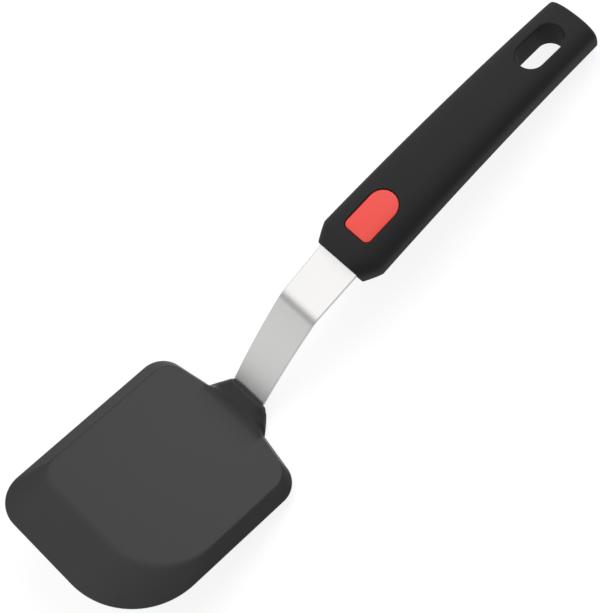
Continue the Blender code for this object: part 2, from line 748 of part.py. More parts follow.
part_collection = bpy.data.collections.new("silicone_turner")
cutter_collection = bpy.data.collections.new(CUTTERS)
bpy.context.scene.collection.children.link(part_collection)
bpy.context.scene.collection.children.link(cutter_collection)

silicone = material("black_silicone", (0.042, 0.042, 0.043), 0.5)
steel = material("stainless_steel", (0.62, 0.61, 0.59), 0.3, 1.0)
spring_steel = material("spring_steel", (0.5, 0.5, 0.5), 0.4, 1.0)
core_plastic = material("core_plastic", (0.03, 0.03, 0.032), 0.5)
grip_rubber = material("grip_rubber", (0.019, 0.019, 0.0205), 0.55)
red_plastic = material("red_plastic", (0.9, 0.085, 0.07), 0.35)

blade_core = core_plate("blade_core", 0.0, part_collection)
rivets = []
holes = []
for rivet_name, rivet_place in RIVET_PLACES.items():
    rivets.append(make_rivet(rivet_name, rivet_place, part_collection))
    holes.append(make_rivet_hole(rivet_name + "_hole", rivet_place, cutter_collection))
for rivet_hole in holes:
    combine(blade_core, rivet_hole, "DIFFERENCE")
make_shank_pocket(cutter_collection)
shank = make_shank(part_collection, cutter_collection, holes)
silicone_head = make_head(part_collection, cutter_collection, RIVET_PLACES)
handle_core = make_handle_core(part_collection, cutter_collection)
handle_grip = make_handle_grip(part_collection, cutter_collection)
red_inlay = make_inlay(part_collection, cutter_collection)

finish_piece(silicone_head, silicone)
finish_piece(blade_core, spring_steel)
finish_piece(shank, steel)
for rivet in rivets:
    finish_piece(rivet, steel)
finish_piece(handle_core, core_plastic)
finish_piece(handle_grip, grip_rubber)
finish_piece(red_inlay, red_plastic)

resting_frame = bpy.data.objects.new("resting_frame", None)
bpy.context.scene.collection.objects.link(resting_frame)
bpy.context.view_layer.update()
resting_place = resting_matrix(silicone_head, handle_grip)
for piece in list(part_collection.objects) + list(cutter_collection.objects):
    piece.parent = resting_frame
resting_frame.matrix_world = resting_place
bpy.context.view_layer.update()
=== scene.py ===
"""Looks of a silicone turner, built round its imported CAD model.

Each piece is worked out as if the blade lay flat in a pan: X runs across the blade, Y from its front edge
to the handle's tail and Z up, with the front edge at Y = 0 and the underside at Z = 0. The tool itself lies
on a table, leaning back, so every mesh is turned into that rest before it becomes an object.
"""

import json
import math

import bmesh
import bpy
from mathutils import Matrix, Vector
from mathutils.bvhtree import BVHTree


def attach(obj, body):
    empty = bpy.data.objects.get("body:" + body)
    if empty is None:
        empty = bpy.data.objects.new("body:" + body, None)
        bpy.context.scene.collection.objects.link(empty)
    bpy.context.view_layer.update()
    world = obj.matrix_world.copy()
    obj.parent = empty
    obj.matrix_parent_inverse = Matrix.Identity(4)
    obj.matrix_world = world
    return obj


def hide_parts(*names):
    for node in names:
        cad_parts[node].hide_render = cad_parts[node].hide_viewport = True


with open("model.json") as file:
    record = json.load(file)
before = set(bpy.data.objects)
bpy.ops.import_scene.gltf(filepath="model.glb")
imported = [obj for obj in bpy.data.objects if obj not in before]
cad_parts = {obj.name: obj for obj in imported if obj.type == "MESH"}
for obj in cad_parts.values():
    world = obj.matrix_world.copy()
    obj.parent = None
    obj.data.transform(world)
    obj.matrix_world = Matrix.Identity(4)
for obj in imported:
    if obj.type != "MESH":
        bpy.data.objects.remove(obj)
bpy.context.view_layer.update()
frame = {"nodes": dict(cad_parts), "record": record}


# Shank: one strap of stainless steel, blanked wider towards the handle, bent at the heel and below the
# handle, and finely brushed along its length. Its foot is riveted to the core of the blade, and its narrow
# tang lies in the handle.

MM = 0.001
ROUND_STEPS = 48

MOUNT_FROM_FRONT = 40.0 * MM

STRAP_THICKNESS = 1.3 * MM
STRAP_NECK_WIDTH = 15.2 * MM
STRAP_MOUTH_WIDTH = 17.8 * MM
TANG_WIDTH = 13.0 * MM
STRAP_EDGE_RADIUS = 0.25 * MM
STRAP_EDGE_STEPS = 3
FOOT_LENGTH = 18.0 * MM
FOOT_CENTRE = 2.95 * MM
HEEL_START = 85.5 * MM
HEEL_BEND_RADIUS = 8.0 * MM
NECK_SLOPE = math.radians(58.0)
RISE_END_SLOPE = math.radians(46.0)
NECK_RUN = 1.6 * MM
RISE_LENGTH = 38.3 * MM
UPPER_BEND_RADIUS = 14.0 * MM
UPPER_SLOPE = math.radians(24.0)
UPPER_LENGTH = 18.95 * MM
TANG_BEND_RADIUS = 30.0 * MM
TANG_SLOPE = math.radians(10.0)
TANG_LENGTH = 52.0 * MM
# name, length, turn and number of steps of each run, from the foot to the tang
STRAP_RUNS = (
    ("foot", FOOT_LENGTH, 0.0, 12),
    ("heel", HEEL_BEND_RADIUS * NECK_SLOPE, NECK_SLOPE, 32),
    ("neck", NECK_RUN, 0.0, 3),
    ("rise", RISE_LENGTH, RISE_END_SLOPE - NECK_SLOPE, 40),
    ("upper_bend", UPPER_BEND_RADIUS * (RISE_END_SLOPE - UPPER_SLOPE), UPPER_SLOPE - RISE_END_SLOPE, 24),
    ("mouth", UPPER_LENGTH, 0.0, 12),
    ("tang_bend", TANG_BEND_RADIUS * (UPPER_SLOPE - TANG_SLOPE), TANG_SLOPE - UPPER_SLOPE, 12),
    ("tang", TANG_LENGTH, 0.0, 24),
)
TANG_HOLE_RADIUS = 2.8 * MM
TANG_HOLE_PLACES = (18.0 * MM, 38.0 * MM)
RIVET_HOLE_RADIUS = 1.8 * MM
COUNTERSINK_RADIUS = 3.15 * MM
COUNTERSINK_DEPTH = 1.1 * MM
COUNTERSINK_REACH = 0.1 * MM
RIVET_PLACES = (4.5 * MM, 11.5 * MM)

STEEL = (0.615, 0.61, 0.605)

# How the tool lies: the CAD model has a mount on the blade's underside, which gives its place and its tilt.
blade_mount = next(mount for mount in frame["record"]["mounts"] if mount["name"] == "blade_underside")
mount_axis = Vector(blade_mount["axis"])
resting = (Matrix.Translation(blade_mount["pos_m"])
           @ Matrix.Rotation(math.atan2(mount_axis.y, -mount_axis.z), 4, "X")
           @ Matrix.Translation((0.0, -MOUNT_FROM_FRONT, 0.0)))


class Wire:
    """Output of a node, for use in expressions: sums and products on it add nodes to its tree."""

    def __init__(self, socket):
        self.socket = socket

    @classmethod
    def new(cls, tree, kind, settings=None, inputs=None, output=0):
        """Add a node of any type: first its settings and what it captures, then its values or links."""
        node = tree.nodes.new(kind)
        for name, value in (settings or {}).items():
            if name == "captured":
                for item_type, item_name in value:
                    node.capture_items.new(item_type, item_name)
            else:
                setattr(node, name, value)
        for name, value in (inputs or {}).items():
            if isinstance(value, Wire):
                tree.links.new(value.socket, node.inputs[name])
            else:
                node.inputs[name].default_value = value
        return cls(node.outputs[output])

    def other(self, output):
        """Another output of the same node."""
        return Wire(self.socket.node.outputs[output])

    def calculate(self, operation, term):
        """Math on numbers, Vector Math on vectors."""
        kind = "ShaderNodeMath" if self.socket.type == "VALUE" else "ShaderNodeVectorMath"
        return Wire.new(self.socket.id_data, kind, {"operation": operation}, {0: self, 1: term})

    def __add__(self, term):
        return self.calculate("ADD", term)

    def __sub__(self, term):
        return self.calculate("SUBTRACT", term)

    def __mul__(self, term):
        return self.calculate("MULTIPLY", term)

    def blend(self, low, high):
        """Colour between two others, by this share."""
        return Wire.new(self.socket.id_data, "ShaderNodeMix", {"data_type": "RGBA"},
                        {0: self, 6: (*low, 1.0), 7: (*high, 1.0)}, output=2)


def new_finish(name, color, roughness, metallic=0.0, specular=0.5):
    """Material at its plain values, with its node tree and its shader."""
    finish = bpy.data.materials.new(name)
    finish.use_nodes = True
    shader = finish.node_tree.nodes["Principled BSDF"]
    shader.inputs["Base Color"].default_value = (*color, 1.0)
    shader.inputs["Roughness"].default_value = roughness
    shader.inputs["Metallic"].default_value = metallic
    shader.inputs["Specular IOR Level"].default_value = specular
    return finish, finish.node_tree, shader


def noise(tree, place, scale, detail=2.0):
    """Noise from 0 to 1 in cells of 1 / scale metres."""
    return Wire.new(tree, "ShaderNodeTexNoise", None, {"Vector": place, "Scale": scale, "Detail": detail})


def tinted(color, amount):
    """Colour lightened or darkened by a share."""
    return tuple(channel * amount for channel in color)


def vary(shader, color, roughness, fine, slow, fine_share, tints, wander, bump):
    """Vary a shader's colour and roughness by a fine and a slow noise, and bump it by the fine one."""
    tree = shader.id_data
    share = fine * fine_share + slow * (1.0 - fine_share)
    shade = share.blend(tinted(color, tints[0]), tinted(color, tints[1]))
    rough = fine * wander[0] + slow * wander[1] + (roughness - sum(wander) / 2)
    relief = Wire.new(tree, "ShaderNodeBump", None,
                      {"Height": fine, "Strength": bump[0], "Distance": bump[1]})
    tree.links.new(shade.socket, shader.inputs["Base Color"])
    tree.links.new(rough.socket, shader.inputs["Roughness"])
    tree.links.new(relief.socket, shader.inputs["Normal"])


def brushed(name, color, roughness, stretch, attribute=None):
    """Rolled or brushed steel: fine lines along the object or an attribute, and a faint cloudiness."""
    finish, tree, shader = new_finish(name, color, roughness, metallic=1.0)
    if attribute:
        place = Wire.new(tree, "ShaderNodeAttribute", {"attribute_name": attribute}, output="Vector")
    else:
        place = Wire.new(tree, "ShaderNodeTexCoord", output="Object")
    lines = noise(tree, place * stretch, 1.0, 3.0)
    cloud = noise(tree, place, 90.0)
    vary(shader, color, roughness, lines, cloud, fine_share=0.6, tints=(0.94, 1.05), wander=(0.10, 0.04),
         bump=(0.12, 0.01 * MM))
    return finish


def strap_stations():
    """Side profile (distance, y, z, angle) of the strap's centre line, and the distances where runs end."""
    stations = [(0.0, HEEL_START - FOOT_LENGTH, FOOT_CENTRE, 0.0)]
    marks = {}
    for name, length, turn, steps in STRAP_RUNS:
        distance, y, z, angle = stations[-1]
        step = length / steps
        for i in range(1, steps + 1):
            middle = angle + turn * (i - 0.5) / steps
            y += math.cos(middle) * step
            z += math.sin(middle) * step
            stations.append((distance + i * step, y, z, angle + turn * i / steps))
        marks[name] = distance + length
    return stations, marks


stations, marks = strap_stations()


def station_at(mark):
    """First of the strap's stations at or beyond the end of a run."""
    return next(station for station in stations if station[0] >= marks[mark])


def strap_half_width(distance):
    """Half the strap's width: even in the blade, wider towards the handle, then narrow as a tang."""
    to_mouth = min(1.0, max(0.0, (distance - marks["neck"]) / (marks["mouth"] - marks["neck"])))
    to_tang = min(1.0, max(0.0, (distance - marks["mouth"]) / (marks["tang_bend"] - marks["mouth"])))
    width = STRAP_NECK_WIDTH + (STRAP_MOUTH_WIDTH - STRAP_NECK_WIDTH) * to_mouth
    return (width + (TANG_WIDTH - STRAP_MOUTH_WIDTH) * to_tang) / 2


def strap_tree():
    """Geometry Nodes that sweep the strap's section along its line and spread it to each point's width."""
    tree = bpy.data.node_groups.new("strap_sweep", "GeometryNodeTree")
    for name, kind in (("Line", "NodeSocketGeometry"), ("Base Width", "NodeSocketFloat"),
                       ("Thickness", "NodeSocketFloat"), ("Edge Radius", "NodeSocketFloat"),
                       ("Edge Steps", "NodeSocketInt"), ("Finish", "NodeSocketMaterial")):
        tree.interface.new_socket(name, in_out="INPUT", socket_type=kind)
    tree.interface.new_socket("Strap", in_out="OUTPUT", socket_type="NodeSocketGeometry")
    line = Wire.new(tree, "NodeGroupInput")
    base = line.other("Base Width")
    length = Wire.new(tree, "GeometryNodeSplineParameter", output="Length")
    radius = Wire.new(tree, "GeometryNodeInputRadius")
    kept = Wire.new(tree, "GeometryNodeCaptureAttribute",
                    {"captured": (("FLOAT", "Half"), ("FLOAT", "Along"))},
                    {"Geometry": line, "Half": radius, "Along": length})
    level = Wire.new(tree, "GeometryNodeSetCurveNormal", {"mode": "FREE"},
                     {"Curve": kept, "Normal": (1.0, 0.0, 0.0)})
    block = Wire.new(tree, "GeometryNodeCurvePrimitiveQuadrilateral", None,
                     {"Width": base, "Height": line.other("Thickness")})
    section = Wire.new(tree, "GeometryNodeFilletCurve", {"mode": "POLY"},
                       {"Curve": block, "Count": line.other("Edge Steps"),
                        "Radius": line.other("Edge Radius")})
    swept = Wire.new(tree, "GeometryNodeCurveToMesh", None,
                     {"Curve": level, "Profile Curve": section, "Scale": 1.0, "Fill Caps": True})
    across = Wire.new(tree, "ShaderNodeSeparateXYZ", None,
                      {0: Wire.new(tree, "GeometryNodeInputPosition")}, output="X")
    side = Wire.new(tree, "ShaderNodeMath", {"operation": "SIGN"}, {0: across})
    spread = side * (kept.other("Half") - base * 0.5)
    offset = Wire.new(tree, "ShaderNodeCombineXYZ", None, {"X": spread})
    wide = Wire.new(tree, "GeometryNodeSetPosition", None, {"Geometry": swept, "Offset": offset})
    flat_place = Wire.new(tree, "ShaderNodeCombineXYZ", None, {"X": across, "Y": kept.other("Along")})
    marked = Wire.new(tree, "GeometryNodeStoreNamedAttribute",
                      {"data_type": "FLOAT_VECTOR", "domain": "POINT"},
                      {"Geometry": wide, "Name": "strap_place", "Value": flat_place})
    real = Wire.new(tree, "GeometryNodeRealizeInstances", None, {"Geometry": marked})
    coated = Wire.new(tree, "GeometryNodeSetMaterial", None,
                      {"Geometry": real, "Material": line.other("Finish")})
    tree.links.new(coated.socket, tree.nodes.new("NodeGroupOutput").inputs[0])
    return tree


def bake(piece):
    """Turn an object with modifiers into a plain mesh object of the same name."""
    graph = bpy.context.evaluated_depsgraph_get()
    mesh = bpy.data.meshes.new_from_object(piece.evaluated_get(graph), depsgraph=graph)
    name = piece.name
    bpy.data.objects.remove(piece)
    result = bpy.data.objects.new(name, mesh)
    mesh.name = name
    bpy.context.scene.collection.objects.link(result)
    return result


def loft(name, rings, matrix=Matrix(), bowed=False):
    """Closed solid through rings of equally many points, turned into rest; bowed ends close in strips."""
    shape = bmesh.new()
    turn = resting @ matrix
    loops = [[shape.verts.new(turn @ Vector(point)) for point in ring] for ring in rings]
    count = len(loops[0])
    for lower, upper in zip(loops, loops[1:]):
        for i in range(count):
            j = (i + 1) % count
            shape.faces.new((lower[i], lower[j], upper[j], upper[i]))
    for ring in (loops[0], loops[-1]):
        if bowed:
            for i in range(count // 2 - 1):
                shape.faces.new((ring[i], ring[i + 1], ring[count - 2 - i], ring[count - 1 - i]))
        else:
            shape.faces.new(ring)
    bmesh.ops.recalc_face_normals(shape, faces=shape.faces)
    mesh = bpy.data.meshes.new(name)
    shape.to_mesh(mesh)
    shape.free()
    piece = bpy.data.objects.new(name, mesh)
    bpy.context.scene.collection.objects.link(piece)
    return piece


def circle(radius, height):
    """Level ring of points round the Z axis."""
    angles = [math.tau * i / ROUND_STEPS for i in range(ROUND_STEPS)]
    return [(radius * math.cos(angle), radius * math.sin(angle), height) for angle in angles]


def upright_cylinder(name, radius, bottom, top, matrix):
    """Closed cylinder along a matrix's Z."""
    return loft(name, [circle(radius, bottom), circle(radius, top)], matrix)


def cut(piece, cutter, operation="DIFFERENCE", keep=False):
    """Boolean of two solids, made real at once; the cutter goes unless it is kept."""
    step = piece.modifiers.new(cutter.name, "BOOLEAN")
    step.operation = operation
    step.object = cutter
    step.solver = "EXACT"
    result = bake(piece)
    if not keep:
        bpy.data.objects.remove(cutter)
    return result


def dress(piece, finish, node, crease=30.0):
    """Smooth a finished piece with its creases kept, give it its finish and tie it to the frame."""
    piece.data.materials.clear()
    piece.data.materials.append(finish)
    for face in piece.data.polygons:
        face.material_index = 0
    piece.data.shade_smooth()
    piece.data.set_sharp_from_angle(angle=math.radians(crease))
    weighted = piece.modifiers.new("even_faces", "WEIGHTED_NORMAL")
    weighted.keep_sharp = True
    weighted.weight = 100
    piece = bake(piece)
    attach(piece, "root")
    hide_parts(node)
    return piece


strap_line = bpy.data.curves.new("strap_line", "CURVE")
strap_line.dimensions = "3D"
spline = strap_line.splines.new("POLY")
spline.points.add(len(stations) - 1)
for point, (distance, y, z, angle) in zip(spline.points, stations):
    point.co = (*(resting @ Vector((0.0, y, z))), 1.0)
    point.radius = strap_half_width(distance)
shank = bpy.data.objects.new("steel_shank", strap_line)
bpy.context.scene.collection.objects.link(shank)

shank_steel = brushed("brushed_steel", STEEL, 0.30, (2600.0, 40.0, 1.0), "strap_place")
sweep = shank.modifiers.new("strap", "NODES")
sweep.node_group = strap_tree()
strap_values = {"Base Width": TANG_WIDTH, "Thickness": STRAP_THICKNESS, "Edge Radius": STRAP_EDGE_RADIUS,
                "Edge Steps": STRAP_EDGE_STEPS, "Finish": shank_steel}
for item in sweep.node_group.interface.items_tree:
    if item.name in strap_values:
        sweep[item.identifier] = strap_values[item.name]
shank = bake(shank)

distance, y, z, angle = station_at("tang_bend")
for hole_place in TANG_HOLE_PLACES:
    middle = Vector((0.0, y + hole_place * math.cos(angle), z + hole_place * math.sin(angle)))
    tilt = Matrix.Translation(middle) @ Matrix.Rotation(angle, 4, "X")
    hole = upright_cylinder("tang_hole", TANG_HOLE_RADIUS, -STRAP_THICKNESS, STRAP_THICKNESS, tilt)
    shank = cut(shank, hole)
foot_top = FOOT_CENTRE + STRAP_THICKNESS / 2
for rivet_place in RIVET_PLACES:
    at_rivet = Matrix.Translation((0.0, HEEL_START - FOOT_LENGTH + rivet_place, 0.0))
    hole_rings = [circle(RIVET_HOLE_RADIUS, 0.0), circle(RIVET_HOLE_RADIUS, foot_top - COUNTERSINK_DEPTH),
                  circle(COUNTERSINK_RADIUS, foot_top + COUNTERSINK_REACH)]
    shank = cut(shank, loft("rivet_hole", hole_rings, at_rivet))
shank = dress(shank, shank_steel, "shank", 35.0)


# Blade core and its rivets: a perforated plate of spring steel stiffens the silicone, and two countersunk
# rivets of stainless steel hold the shank's foot on it. All three stay as the CAD has them, inside the
# silicone.

SPRING_STEEL = (0.5, 0.5, 0.5)


def coat(node, finish):
    """Give a finish to a CAD node that is left as it is."""
    for material_slot in frame["nodes"][node].material_slots:
        material_slot.material = finish


coat("blade_core", brushed("rolled_spring_steel", SPRING_STEEL, 0.40, (2200.0, 60.0, 60.0)))
rivet_steel = brushed("rivet_steel", STEEL, 0.34, (900.0, 900.0, 200.0))
coat("core_rivet_front", rivet_steel)
coat("core_rivet_rear", rivet_steel)


# Silicone head: black silicone, moulded round the core and the foot. It has a thin edge all round, a wide
# wedge at the front, narrow bevels at the sides, and a low neck that climbs the shank up to a flat lip.

HEAD_WIDTH = 74.0 * MM
HEAD_LENGTH = 89.2 * MM
SHOULDER_SLOPE = math.radians(10.4)
FRONT_LEFT_RADIUS = 12.5 * MM
FRONT_RIGHT_RADIUS = 30.5 * MM
REAR_RADIUS = 9.8 * MM
APEX_RADIUS = 4.0 * MM
EDGE_THICKNESS = 0.9 * MM
EDGE_ROUNDING = 0.15 * MM
EDGE_STEPS = 3
PLATEAU_THICKNESS = 3.9 * MM
SIDE_BEVEL = 4.9 * MM
SHOULDER_BEVEL = 1.5 * MM
FRONT_WEDGE = 18.0 * MM
BEVEL_SOFTNESS = 0.12
BEVEL_SOFT_STEPS = 4
OUTLINE_STEPS = 28
NECK_ROOT_WIDTH = 30.6 * MM
NECK_RIDGE_WIDTH = 18.8 * MM
NECK_LIP_WIDTH = 15.6 * MM
NECK_UNDER_COVER = 0.5 * MM
NECK_LIP_UNDER = 0.4 * MM
NECK_ROOT_SQUARENESS = 2.8
NECK_RIDGE_SQUARENESS = 3.2
NECK_LIP_SQUARENESS = 4.5
NECK_LIP_RUN = 3.0 * MM
NECK_SWELL_SHARE = 0.5
NECK_FLARE = 1.25
NECK_STEPS = 96
NECK_ROOT_STEP = 0.5 * MM
NECK_REACH = 7.5 * MM
NECK_REACH_TRIES = 24
SWELL_FULLNESS = 6
SWELL_FADE = 1.5
LIP_ROUNDING = 0.12 * MM
LIP_STEPS = 4
LIP_LEAN = 0.32
JOIN_DEPTH = 0.006 * MM
# distance from the front edge, and slope of the neck's top line there
CREST_SLOPES = ((74.0 * MM, 0.0), (83.0 * MM, 0.11), (86.0 * MM, 0.7686), (100.0 * MM, 0.7686))

SILICONE = (0.041, 0.041, 0.042)
SILICONE_ROUGHNESS = 0.34


def arc_points(centre, radius, start, end, steps):
    """Points of an arc from one angle to another, both ends included."""
    x, y = centre
    angles = [start + (end - start) * i / steps for i in range(steps + 1)]
    return [(x + radius * math.cos(angle), y + radius * math.sin(angle)) for angle in angles]


def quarter_turn(steps):
    """Sine and cosine at even steps of a quarter turn, both ends included."""
    angles = [math.pi / 2 * i / steps for i in range(steps + 1)]
    return [(math.sin(angle), math.cos(angle)) for angle in angles]


def rounded(corners):
    """Counter-clockwise outline from (x, y, radius) corners."""
    outline = []
    for i, (x, y, radius) in enumerate(corners):
        here = Vector((x, y))
        before = (Vector(corners[i - 1][:2]) - here).normalized()
        after = (Vector(corners[(i + 1) % len(corners)][:2]) - here).normalized()
        half = before.angle(after) / 2
        centre = here + (before + after).normalized() * (radius / math.sin(half))
        start = here + before * (radius / math.tan(half)) - centre
        first = math.atan2(start.y, start.x)
        outline += arc_points(centre, radius, first, first + math.pi - 2 * half, OUTLINE_STEPS)
    return outline


def head_ring(share, height, inset=0.0):
    """Ring of the head's outline, moved in by a share of its bevels and an even inset."""
    side = SIDE_BEVEL * share + inset
    shoulder = SHOULDER_BEVEL * share + inset
    front = FRONT_WEDGE * share + inset
    half = HEAD_WIDTH / 2 - side
    apex = HEAD_LENGTH - shoulder
    rear = apex - half * math.tan(SHOULDER_SLOPE)
    corner = min(side, shoulder)
    outline = rounded([
        (-half, front, FRONT_LEFT_RADIUS - min(side, front)),
        (half, front, FRONT_RIGHT_RADIUS - min(side, front)),
        (half, rear, REAR_RADIUS - corner),
        (0.0, apex, APEX_RADIUS),
        (-half, rear, REAR_RADIUS - corner),
    ])
    return [(x, y, height) for x, y in outline]


def bevel_height(share):
    """Height of the top at a share of the bevel, softly rounded where the bevel meets the plateau."""
    if share < 1.0 - BEVEL_SOFTNESS:
        level = share
    elif share < 1.0 + BEVEL_SOFTNESS:
        level = share - (share - 1.0 + BEVEL_SOFTNESS) ** 2 / (4 * BEVEL_SOFTNESS)
    else:
        level = 1.0
    return EDGE_THICKNESS + (PLATEAU_THICKNESS - EDGE_THICKNESS) * level


def rear_height(x, y):
    """Height of the head's top near its rear edge."""
    inside = HEAD_LENGTH - abs(x) * math.tan(SHOULDER_SLOPE) - y
    return bevel_height(max(0.0, inside / SHOULDER_BEVEL))


def smooth_share(value):
    """Share from 0 to 1 that starts and ends gently."""
    value = min(1.0, max(0.0, value))
    return value * value * (3.0 - 2.0 * value)


def superellipse(half_width, above, below, squareness, steps):
    """Section outline (x, height): a rounded rectangle that can be taller on one side."""
    points = []
    for i in range(steps):
        angle = math.tau * (i + 0.5) / steps
        cos = math.cos(angle)
        sin = math.sin(angle)
        x = math.copysign(abs(cos) ** (2 / squareness), cos) * half_width
        height = math.copysign(abs(sin) ** (2 / squareness), sin) * (above if sin > 0 else below)
        points.append((x, height))
    return points


def crest_height(y):
    """Height of the neck's top line: level with the blade at first, then a soft climb to the lip."""
    height = PLATEAU_THICKNESS
    for (start, first), (end, last) in zip(CREST_SLOPES, CREST_SLOPES[1:]):
        run = min(max(y - start, 0.0), end - start)
        height += run * (first + (last - first) * run / (end - start) / 2)
    return height


def swell_height(x, y, half):
    """Height of the neck's swell, which fades into the top of the blade on both sides."""
    share = min(1.0, abs(x) / half)
    base = rear_height(x, y)
    return base + (crest_height(y) - base) * (1.0 - share ** SWELL_FULLNESS) ** SWELL_FADE - JOIN_DEPTH


def reach_up(y, z, angle, height_at, low=0.0):
    """Distance along a station's normal, from low on, to a surface given by its height at each Y."""
    high = NECK_REACH
    for i in range(NECK_REACH_TRIES):
        middle = (low + high) / 2
        if z + middle * math.cos(angle) < height_at(y - middle * math.sin(angle)):
            low = middle
        else:
            high = middle
    return low


def neck_ring(y, z, angle, share, to_lip, inset=0.0):
    """Ring of the neck at a station, by its share of the climb round the heel and of the way to the lip."""
    half_strap = STRAP_THICKNESS / 2
    drop = (FOOT_CENTRE - EDGE_THICKNESS) * (1.0 - share)
    half = NECK_RIDGE_WIDTH / 2
    half += (NECK_ROOT_WIDTH - NECK_RIDGE_WIDTH) / 2 * (1.0 - share) ** NECK_FLARE
    half += (NECK_LIP_WIDTH / 2 - half) * (1.0 - math.sqrt(1.0 - to_lip ** 2))
    above = reach_up(y, z, angle, crest_height) - inset
    under = (FOOT_CENTRE - EDGE_THICKNESS / 2) * (1.0 - share) + (half_strap + NECK_UNDER_COVER) * share
    under += (half_strap + NECK_LIP_UNDER - under) * to_lip - inset
    squareness = NECK_ROOT_SQUARENESS + (NECK_RIDGE_SQUARENESS - NECK_ROOT_SQUARENESS) * share
    squareness += (NECK_LIP_SQUARENESS - squareness) * to_lip
    swell = 1.0 - smooth_share(share / NECK_SWELL_SHARE)
    ring = []
    for x, height in superellipse(half - inset, above + drop, under - drop, squareness, NECK_STEPS):
        reach = height - drop
        if height > 0.0 and swell > 0.0:
            swollen = reach_up(y, z, angle, lambda place: swell_height(x, place, half), -drop)
            reach += (swollen - reach) * swell
        back = LIP_LEAN * (above - reach) * to_lip
        ring.append((x, y - reach * math.sin(angle) - back * math.cos(angle),
                     z + reach * math.cos(angle) - back * math.sin(angle)))
    return ring


def neck_rings():
    """Rings of the neck from its hidden root on the blade to its lip."""
    root_start = CREST_SLOPES[0][0]
    steps = int((HEEL_START - root_start) / NECK_ROOT_STEP)
    rings = []
    for i in range(steps):
        root_y = root_start + (HEEL_START - root_start) * i / steps
        rings.append(neck_ring(root_y, FOOT_CENTRE, angle=0.0, share=0.0, to_lip=0.0))
    lip_start = marks["neck"] - NECK_LIP_RUN
    for distance, y, z, angle in stations:
        if marks["foot"] <= distance <= marks["neck"] - LIP_ROUNDING:
            share = min(1.0, (distance - marks["foot"]) / (marks["heel"] - marks["foot"]))
            to_lip = max(0.0, (distance - lip_start) / NECK_LIP_RUN)
            rings.append(neck_ring(y, z, angle, share, to_lip))
    distance, y, z, angle = station_at("neck")
    for sin, cos in quarter_turn(LIP_STEPS):
        back = LIP_ROUNDING * (1.0 - sin)
        rings.append(neck_ring(y - back * math.cos(angle), z - back * math.sin(angle), angle, 1.0,
                               1.0 - back / NECK_LIP_RUN, LIP_ROUNDING * (1.0 - cos)))
    return rings


def merged_copy(node):
    """Solid copy of a CAD node, its loose triangles joined."""
    shape = bmesh.new()
    shape.from_mesh(frame["nodes"][node].data)
    bmesh.ops.remove_doubles(shape, verts=shape.verts, dist=0.001 * MM)
    mesh = bpy.data.meshes.new(node + "_room")
    shape.to_mesh(mesh)
    shape.free()
    copy = bpy.data.objects.new(node + "_room", mesh)
    bpy.context.scene.collection.objects.link(copy)
    return copy


def satin_silicone():
    """Black moulded silicone: a fine even grain from the mould, faintly cloudy where it was handled."""
    finish, tree, shader = new_finish("satin_silicone", SILICONE, SILICONE_ROUGHNESS, specular=0.12)
    place = Wire.new(tree, "ShaderNodeTexCoord", output="Object")
    grain = noise(tree, place, 2500.0)
    cloud = noise(tree, place, 35.0, 4.0)
    vary(shader, SILICONE, SILICONE_ROUGHNESS, grain, cloud, fine_share=0.3, tints=(0.86, 1.14),
         wander=(0.06, 0.08), bump=(0.25, 0.02 * MM))
    return finish


edge_rings = [head_ring(0.0, EDGE_ROUNDING * (1.0 - cos), EDGE_ROUNDING * (1.0 - sin))
              for sin, cos in quarter_turn(EDGE_STEPS)]
edge_rings += [head_ring(0.0, EDGE_THICKNESS - EDGE_ROUNDING * (1.0 - sin), EDGE_ROUNDING * (1.0 - cos))
               for sin, cos in quarter_turn(EDGE_STEPS)]
bevel_shares = [0.1, 0.5]
bevel_shares += [1.0 + BEVEL_SOFTNESS * i / BEVEL_SOFT_STEPS
                 for i in range(-BEVEL_SOFT_STEPS, BEVEL_SOFT_STEPS + 1)]
top_rings = [head_ring(share, bevel_height(share)) for share in bevel_shares]
head = loft("silicone_blade", edge_rings + top_rings)
head = cut(head, loft("neck", neck_rings()), "UNION")
head = cut(head, shank, keep=True)
for node in ("blade_core", "core_rivet_front", "core_rivet_rear"):
    head = cut(head, merged_copy(node))
head = dress(head, satin_silicone(), "silicone_head", 25.0)


# Handle core: hard black plastic, moulded round the tang, with plugs through its two holes and sockets for
# the inlay. It gives the handle its strength. The soft grip covers it, so it stays as the CAD has it.

CORE_PLASTIC = (0.03, 0.03, 0.032)


def moulded_plastic(name, color, roughness, grain_scale, specular=0.5):
    """Moulded plastic: a fine grain, and slow streaks where it flowed into the mould."""
    finish, tree, shader = new_finish(name, color, roughness, specular=specular)
    place = Wire.new(tree, "ShaderNodeTexCoord", output="Object")
    grain = noise(tree, place, grain_scale)
    flow = noise(tree, place * (160.0, 40.0, 160.0), 1.0, 3.0)
    vary(shader, color, roughness, grain, flow, fine_share=0.3, tints=(0.93, 1.07), wander=(0.06, 0.06),
         bump=(0.15, 0.01 * MM))
    return finish


coat("handle_core", moulded_plastic("core_plastic", CORE_PLASTIC, 0.5, 1800.0))


# Soft grip: black soft-touch rubber, moulded over the core as one arched shell. It tapers at the mouth, is
# square and slightly bowed at the tail, and lines the hanging slot that goes right through the tail.

